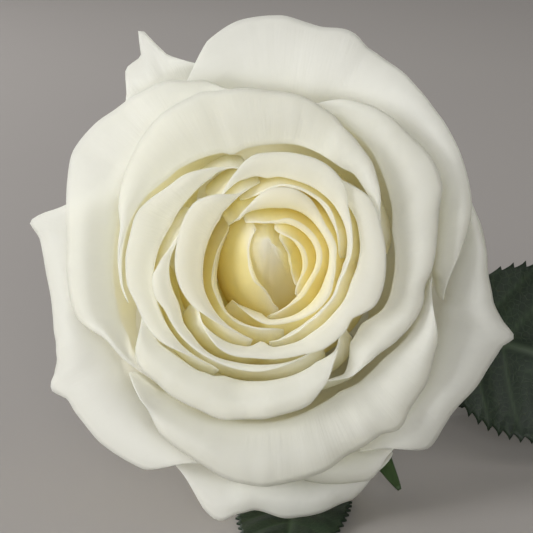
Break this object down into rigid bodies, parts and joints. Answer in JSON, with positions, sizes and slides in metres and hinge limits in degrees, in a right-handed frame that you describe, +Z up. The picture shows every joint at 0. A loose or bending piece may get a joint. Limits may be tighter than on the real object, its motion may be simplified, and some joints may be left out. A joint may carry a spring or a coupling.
{
  "type": "cut rose",
  "caption": "Full open rose with nested petals whose rims curl outward, on a prickly cut stem with sepals and toothed compound leaves, lying on a surface.",
  "frame": {"origin": "centre of the bounding box, at the surface that the rose lies on", "axes": "+Z up; the bloom faces -Y and leans back, the stem runs towards +Y, and +X is the bloom's right as one looks into it"},
  "size_m": [0.1543, 0.2423, 0.1057],
  "materials": {
    "bud_heart": "soft satin petal",
    "hip": "smooth green",
    "leaf_front": "leathery dark green",
    "leaf_left": "leathery dark green",
    "leaf_right": "leathery dark green",
    "petal_back_left": "soft satin petal",
    "petal_back_low": "soft satin petal",
    "petal_back_low_right": "soft satin petal",
    "petal_back_right": "soft satin petal",
    "petal_back_top_left": "soft satin petal",
    "petal_heart_fold": "soft satin petal",
    "petal_heart_left": "soft satin petal",
    "petal_heart_right": "soft satin petal",
    "petal_heart_wrap": "soft satin petal",
    "petal_middle_left": "soft satin petal",
    "petal_middle_low": "soft satin petal",
    "petal_middle_top": "soft satin petal",
    "petal_outer_left": "soft satin petal",
    "petal_outer_low": "soft satin petal",
    "petal_outer_right": "soft satin petal",
    "petal_outer_top": "soft satin petal",
    "petal_ring_left": "soft satin petal",
    "petal_ring_low": "soft satin petal",
    "petal_ring_right": "soft satin petal",
    "petal_ring_top": "soft satin petal",
    "petal_whorl_high": "soft satin petal",
    "petal_whorl_low": "soft satin petal",
    "petal_whorl_wrap": "soft satin petal",
    "sepal_1": "matte green",
    "sepal_2": "matte green",
    "sepal_3": "matte green",
    "sepal_4": "matte green",
    "sepal_5": "matte green",
    "stem": "smooth green"
  },
  "bodies": {
    "root": {"bud_heart": "bud_heart", "hip": "hip", "leaf_front": "leaf_front", "leaf_left": "leaf_left", "leaf_right": "leaf_right", "petal_back_left": "petal_back_left", "petal_back_low": "petal_back_low", "petal_back_low_right": "petal_back_low_right", "petal_back_right": "petal_back_right", "petal_back_top_left": "petal_back_top_left", "petal_heart_fold": "petal_heart_fold", "petal_heart_left": "petal_heart_left", "petal_heart_right": "petal_heart_right", "petal_heart_wrap": "petal_heart_wrap", "petal_middle_left": "petal_middle_left", "petal_middle_low": "petal_middle_low", "petal_middle_top": "petal_middle_top", "petal_outer_left": "petal_outer_left", "petal_outer_low": "petal_outer_low", "petal_outer_right": "petal_outer_right", "petal_outer_top": "petal_outer_top", "petal_ring_left": "petal_ring_left", "petal_ring_low": "petal_ring_low", "petal_ring_right": "petal_ring_right", "petal_ring_top": "petal_ring_top", "petal_whorl_high": "petal_whorl_high", "petal_whorl_low": "petal_whorl_low", "petal_whorl_wrap": "petal_whorl_wrap", "sepal_1": "sepal_1", "sepal_2": "sepal_2", "sepal_3": "sepal_3", "sepal_4": "sepal_4", "sepal_5": "sepal_5", "stem": "stem"}
  },
  "joints": []
}
